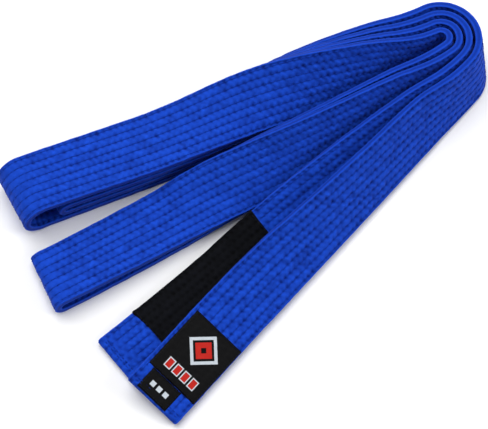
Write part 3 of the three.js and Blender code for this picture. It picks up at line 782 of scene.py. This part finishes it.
def patch_with_thread(name, wide, long, from_end, offset, top_height):
    span = (from_end, from_end + long, offset - wide / 2, offset + wide / 2)
    patch = patch_tube(name, *span, HALF_THICKNESS - PATCH_SINK, top_height, PATCH_FOLLOW)
    border = (BORDER_INSET, top_height + BORDER_LIFT, BORDER_STITCH, BORDER_THREAD)
    return patch, border_thread(f"{name}_thread", *span, *border)


label, label_thread = patch_with_thread(
    "end_label", LABEL_WIDTH, LABEL_LENGTH, LABEL_FROM_END, LABEL_OFFSET, LABEL_TOP
)
tab, tab_thread = patch_with_thread("size_label", TAB_WIDTH, TAB_LENGTH, TAB_FROM_END, TAB_OFFSET, TAB_TOP)
print("label corners:", len(label.data.vertices), "tab corners:", len(tab.data.vertices))

# %% [markdown]
# Inside the cover lie two layers of padding. They never show, so each is a plain slab
# that follows the same path.

# %% The padding
PADDING_GAP, PADDING_TOP, PADDING_SIDE = 0.1, 0.85, 19.5
PADDING_END, PADDING_CUT, PADDING_STEP, PADDING_ROUND = 2.5, 1, 3.6, 0.3
padding_spans = {
    "label_side": (PADDING_END, starts["outer_loop"] - PADDING_CUT),
    "rest": (starts["outer_loop"] + PADDING_CUT, STRIP_LENGTH - PADDING_END),
}
slab = (-PADDING_SIDE, PADDING_SIDE, PADDING_GAP, PADDING_TOP, 0)
padding = {}
for side, which in ((1, "label"), (-1, "back")):
    for part, span in padding_spans.items():
        name = f"padding_{which}_face_{part}"
        padding[which, part] = patch_tube(name, *span, *slab, side, PADDING_STEP, PADDING_ROUND)
print("pieces of padding:", len(padding))

# %% [markdown]
# Shader maths reads best as plain arithmetic. The small class below wraps one socket, so
# that `1 - mask` or `a * b` adds the Math node for it.


# %% A socket that does arithmetic
class Wire:
    def __init__(self, finish, socket):
        self.finish, self.socket = finish, socket

    def math(self, operation, other=0.0, swapped=False):
        pair = (other, self) if swapped else (self, other)
        return self.finish.node("Math", {"operation": operation}, {0: pair[0], 1: pair[1]})

    __add__ = __radd__ = partialmethod(math, "ADD")
    __mul__ = __rmul__ = partialmethod(math, "MULTIPLY")
    __sub__ = partialmethod(math, "SUBTRACT")
    __rsub__ = partialmethod(math, "SUBTRACT", swapped=True)
    __gt__, __lt__ = partialmethod(math, "GREATER_THAN"), partialmethod(math, "LESS_THAN")
    __abs__, sine = partialmethod(math, "ABSOLUTE"), partialmethod(math, "SINE")
    wrap = partialmethod(math, "MODULO")


class Finish:
    """One material. Constants go straight on the shader; only varying values are wired."""

    def __init__(self, name, **constants):
        self.material = bpy.data.materials.new(name)
        self.material.use_nodes = True
        self.tree = self.material.node_tree
        self.shader = self.tree.nodes["Principled BSDF"]
        for key, value in constants.items():
            self.shader.inputs[key.replace("_", " ")].default_value = value

    def node(self, kind, settings=None, values=None, output=0):
        made = self.tree.nodes.new("ShaderNode" + kind)
        for key, value in (settings or {}).items():
            setattr(made, key, value)
        for key, value in (values or {}).items():
            if isinstance(value, Wire):
                self.tree.links.new(value.socket, made.inputs[key])
            else:
                made.inputs[key].default_value = value
        return Wire(self, made.outputs[output])

    def cloth(self):
        """Millimetres along and across the cloth."""
        uv = self.node("UVMap", {"uv_map": "cloth"})
        split = self.node("SeparateXYZ", values={0: uv})
        return uv, split, Wire(self, split.socket.node.outputs[1])

    def mix(self, a, b, share):
        return self.node("Mix", {"data_type": "RGBA"}, {0: share, 6: a, 7: b}, 2)

    def noise(self, vector, scale, detail=2.0):
        return self.node("TexNoise", values={"Vector": vector, "Scale": scale, "Detail": detail})

    def bump(self, height, distance, strength=1.0):
        return self.node("Bump", values={"Height": height, "Distance": distance, "Strength": strength})

    def drive(self, **wires):
        for key, wire in wires.items():
            self.tree.links.new(wire.socket, self.shader.inputs[key.replace("_", " ")])


print("shader helpers ready")

# %% [markdown]
# Dyed cotton is matt with a soft sheen at grazing angles. Shade is painted into the
# dimples, which are coloured darker, and the crests of the ribs are a little lighter as
# worn. A plain weave of half millimetre threads runs along and across the strip.

# %% Colours and the quilted cotton
# COTTON_DEEP and BAR_DEEP serve as the painted shade of the dimples as well as the dark end of the
# mottling.
COTTON_DEEP, COTTON_BRIGHT = (0.001, 0.011, 0.15, 1), (0.0098, 0.08, 0.68, 1)
BAR_DEEP, BAR_BRIGHT = (0.0002, 0.0003, 0.0005, 1), (0.0054, 0.006, 0.009, 1)
WEAVE = math.tau / 1.1
PATCHY_SCALE, FLUFF_SCALE, CRUMPLE_SCALE = 0.09, 1.6, 0.42


def woven(name, deep, bright, sheen):
    finish = Finish(name, Roughness=0.9, Sheen_Weight=sheen, Sheen_Roughness=0.45, Specular_IOR_Level=0.08)
    uv, along, across = finish.cloth()
    # The dimples and edge hollows get painted shade from the mesh's share; the crests get a little lighter
    # as worn.
    shade_and_wear = finish.node("Attribute", {"attribute_name": "shade_and_wear"}, output=2)
    weave = (along * WEAVE).sine() * (across * WEAVE).sine() * 0.5 + 0.5
    patchy = finish.noise(uv, PATCHY_SCALE, 3.0)
    fluff = finish.noise(uv, FLUFF_SCALE)
    crumple = finish.noise(uv, CRUMPLE_SCALE)
    share = shade_and_wear * 0.66 + patchy * 0.2 + crumple * 0.2 + fluff * 0.2 + weave * 0.08 - 0.38
    height = weave * 0.5 + fluff * 0.8 + crumple * 4.5
    finish.drive(
        Base_Color=finish.mix(deep, bright, share),
        Roughness=0.82 + fluff * 0.14,
        Normal=finish.bump(height, 0.00012, 0.5),
    )
    return finish.material


blue_cotton = woven("blue quilted cotton", COTTON_DEEP, COTTON_BRIGHT, 0.05)
black_cotton = woven("black bar cotton", BAR_DEEP, BAR_BRIGHT, 0.01)
print("cloth finishes:", blue_cotton.name, "and", black_cotton.name)


# %% Threads and padding
def plain_fibre(name, deep, bright, scale, roughness):
    finish = Finish(name, Roughness=roughness, Specular_IOR_Level=0.1)
    place = finish.node("TexCoord", output=3)
    fibre = finish.noise(place, scale, 3.0)
    finish.drive(
        Base_Color=finish.mix(deep, bright, fibre),
        Roughness=roughness - 0.1 + fibre * 0.2,
        Normal=finish.bump(fibre, 0.0001, 0.6),
    )
    return finish.material


# Each row is name, deep colour, bright colour, scale of the fibres and roughness.
blue_thread, black_thread, batting = (
    plain_fibre(*row)
    for row in (
        ("blue sewing thread", (0.002, 0.018, 0.2, 1), (0.005, 0.045, 0.4, 1), 900, 0.8),
        ("black sewing thread", (0.003, 0.003, 0.004, 1), (0.014, 0.014, 0.018, 1), 900, 0.7),
        ("undyed cotton padding", (0.62, 0.58, 0.5, 1), (0.82, 0.79, 0.72, 1), 350, 0.95),
    )
)
print("threads and padding ready")

# %% [markdown]
# The label is black satin with a motif woven in. The motif here is a plain lozenge in a
# white frame over a row of blocks, with no lettering. Masks made by comparing distances
# in millimetres paint it, so it stays crisp at any size.

# %% The woven labels
SATIN_DARK, SATIN_LIGHT = (0.0004, 0.0004, 0.0006, 1), (0.002, 0.002, 0.003, 1)
WOVEN_WHITE, WOVEN_RED = (0.55, 0.6, 0.66, 1), (0.5, 0.018, 0.012, 1)
RIB = math.tau / 0.6
# All places and sizes of the motifs are in mm from a corner of their label.
LOZENGE_AT, FRAME_OUTSIDE, FRAME_INSIDE, LOZENGE_REACH, LOZENGE_EYE = (20.5, 29.5), 12.5, 9.6, 7.4, 2.4
# A row of blocks or squares is given by its left, right, low and high limits.
BLOCKS, BLOCK_PITCH, BLOCK_LENGTH, BLOCK_RIM = (7.5, 33.2, 5.2, 12.4), 6.6, 5.2, 0.7
SQUARES, SQUARE_PITCH, SQUARE_LENGTH = (5.0, 19.0, 6.0, 9.4), 5.3, 3.4


def block(across, along, left, right, low, high):
    """1 inside an upright rectangle, 0 outside."""
    return (across > left) * (across < right) * (along > low) * (along < high)


def satin(name, marks):
    """marks(across, along) gives pairs of a mask and a colour, painted in turn."""
    finish = Finish(name, Roughness=0.5, Specular_IOR_Level=0.1)
    uv, across, along = finish.cloth()
    grain = finish.noise(uv, 1.1)
    rib = (along * RIB).sine() * 0.5 + 0.5
    colour = finish.mix(SATIN_DARK, SATIN_LIGHT, grain * 0.6 + rib * 0.3)
    for mask, paint in marks(across, along):
        shaded = finish.mix(tuple(0.8 * c for c in paint[:3]) + (1,), paint, grain + rib * 0.2)
        colour = finish.mix(colour, shaded, mask)
    finish.drive(
        Base_Color=colour,
        Roughness=0.42 + grain * 0.25,
        Normal=finish.bump(rib + grain, 0.00008, 0.5),
    )
    return finish.material


def label_marks(across, along):
    spread = abs(across - LOZENGE_AT[0]) + abs(along - LOZENGE_AT[1])
    row = block(across, along, *BLOCKS)
    beat = (across - BLOCKS[0]).wrap(BLOCK_PITCH)
    inside = BLOCK_RIM, BLOCK_LENGTH - BLOCK_RIM, BLOCKS[2] + BLOCK_RIM, BLOCKS[3] - BLOCK_RIM
    return [
        ((spread < FRAME_OUTSIDE) * (spread > FRAME_INSIDE), WOVEN_WHITE),
        (spread < LOZENGE_REACH, WOVEN_RED),
        (spread < LOZENGE_EYE, SATIN_DARK),
        (row * (beat < BLOCK_LENGTH), WOVEN_WHITE),
        (row * block(beat, along, *inside), WOVEN_RED),
    ]


def tab_marks(across, along):
    in_square = (across - SQUARES[0]).wrap(SQUARE_PITCH) < SQUARE_LENGTH
    return [(block(across, along, *SQUARES) * in_square, WOVEN_WHITE)]


label_satin, tab_satin = satin("woven end label", label_marks), satin("woven size label", tab_marks)
print("labels:", label_satin.name, "and", tab_satin.name)

# %% [markdown]
# Each piece now gets its finish, hides the frame nodes it stands for, and rides on the
# body it belongs to. The cloth near the label is baked into place instead; the points
# 35 mm to either side of the hinge are worked out but not used.

# %% Which piece is what
BEND_HALF = 35
bend_start = point_on(HINGE_FROM_END + BEND_HALF, 0, 0) * MM
bend_end = point_on(HINGE_FROM_END - BEND_HALF, 0, 0) * MM
STRETCHES = {
    "label_side": ["label_tail", "label_run"],
    "outer_loop": ["turn_1", "far_run_1", "outer_fold", "far_run_4"],
    "middle_loop": ["turn_4", "near_run_4", "middle_fold", "near_run_3"],
    "inner_loop": ["turn_3", "far_run_3", "inner_fold", "far_run_2", "turn_2"],
    "bar_side": ["bar_run"],
}


def settle_piece(piece, finish, nodes, body):
    piece.data.materials.append(finish)
    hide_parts(*nodes)
    if body == "bend":
        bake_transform(piece)
    else:
        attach(piece, body)


def body_of(part):
    return "bend" if part == "label_side" else "belt"


for name, piece in covers.items():
    nodes = [f"cover_{part}" for part in STRETCHES[name]]
    settle_piece(piece, blue_cotton, nodes, body_of(name))
for (k, part), piece in stitching.items():
    node = f"stitch_row_{k + 1}" + ("_tail" if part == "label_side" else "")
    settle_piece(piece, blue_thread, [node], body_of(part))
for (which, part), piece in padding.items():
    node = f"core_layer_{which}_side" + ("_tail" if part == "label_side" else "")
    settle_piece(piece, batting, [node], body_of(part))
for piece, finish, slot, node, body in (
    (end_seam_label, blue_thread, "blue_thread", "end_seam_label_end", "label_tail"),
    (end_seam_bar, blue_thread, "blue_thread", "end_seam_bar_end", "belt"),
    (rank_bar, black_cotton, "bar_cotton", "rank_bar", "belt"),
    (bar_seam_inner, black_thread, "black_thread", "rank_bar_seam_inner", "belt"),
    (bar_seam_outer, black_thread, "black_thread", "rank_bar_seam_outer", "belt"),
    (label, label_satin, "label_satin", "woven_label", "label_tail"),
    (label_thread, black_thread, "black_thread", "woven_label_seam", "label_tail"),
    (tab, tab_satin, "label_satin", "size_tab", "label_tail"),
    (tab_thread, black_thread, "black_thread", "size_tab_seam", "label_tail"),
):
    settle_piece(piece, finish, [node], body)

# %% [markdown]
# The two end pieces of the cover are looked up for the part of the strip they belong to.

for k, (name, piece) in enumerate(covers.items()):
    part = {"label_side": "label_side", "bar_side": "rest"}.get(name)

# %% [markdown]
# The view is from the front and well above, with a long lens, so the runs keep nearly the
# same scale from end to end.

# %% Camera
ELEVATION, DISTANCE, LENS, RAISE = 67.5, 1.05, 116.2, 1.2
tilt_up = math.radians(ELEVATION)
target = Vector((shift[0], shift[1] + RAISE * math.sin(tilt_up), RAISE * math.cos(tilt_up))) * MM
back = Vector((0, -math.cos(tilt_up), math.sin(tilt_up)))
camera = bpy.data.objects.new("camera", bpy.data.cameras.new("camera"))
camera.data.lens, camera.data.sensor_width = LENS, 36
camera.data.clip_start, camera.data.clip_end = 0.05, 20
camera.location = target + back * DISTANCE
camera.rotation_mode = "QUATERNION"
camera.rotation_quaternion = (-back).to_track_quat("-Z", "Y")
bpy.context.scene.collection.objects.link(camera)
bpy.context.scene.camera = camera
print("camera at", [round(x, 3) for x in camera.location])

# %% [markdown]
# A big soft lamp overhead lights the ribs evenly. It stands a little behind the belt, so
# the sides that face the viewer fall into shade. A weak one rakes the ribs from the left,
# and one on the right brightens the U-turn. The floor is plain and nearly white.


# %% Light and floor
ROOM_LIGHT, FLOOR_WHITE = 0.29, 0.92


def area_lamp(name, place, size, power):
    data = bpy.data.lights.new(name, "AREA")
    data.shape, data.size, data.energy = "DISK", size, power
    lamp = bpy.data.objects.new(name, data)
    lamp.location = place
    lamp.rotation_mode = "QUATERNION"
    lamp.rotation_quaternion = (-Vector(place)).to_track_quat("-Z", "Y")
    bpy.context.scene.collection.objects.link(lamp)


area_lamp("overhead lamp", (-0.25, 0.45, 1.5), 1.7, 26)
area_lamp("raking lamp", (-1.2, 0.5, 0.7), 0.4, 2.5)
area_lamp("side lamp", (1.3, -0.1, 0.8), 0.7, 9)
world = bpy.data.worlds.new("soft room")
world.use_nodes = True
background = world.node_tree.nodes["Background"]
background.inputs["Color"].default_value = (1, 1, 1, 1)
background.inputs["Strength"].default_value = ROOM_LIGHT
bpy.context.scene.world = world
floor_mesh = bpy.data.meshes.new("floor")
floor_mesh.from_pydata([(-3, -3, 0), (3, -3, 0), (3, 3, 0), (-3, 3, 0)], [], [(0, 1, 2, 3)])
floor = bpy.data.objects.new("floor", floor_mesh)
bpy.context.scene.collection.objects.link(floor)
paper = Finish("white paper", Roughness=0.95)
paper.shader.inputs["Base Color"].default_value = (FLOOR_WHITE, FLOOR_WHITE, FLOOR_WHITE, 1)
floor_mesh.materials.append(paper.material)
bpy.context.scene.view_settings.view_transform = "Standard"
print("lamps and floor ready")
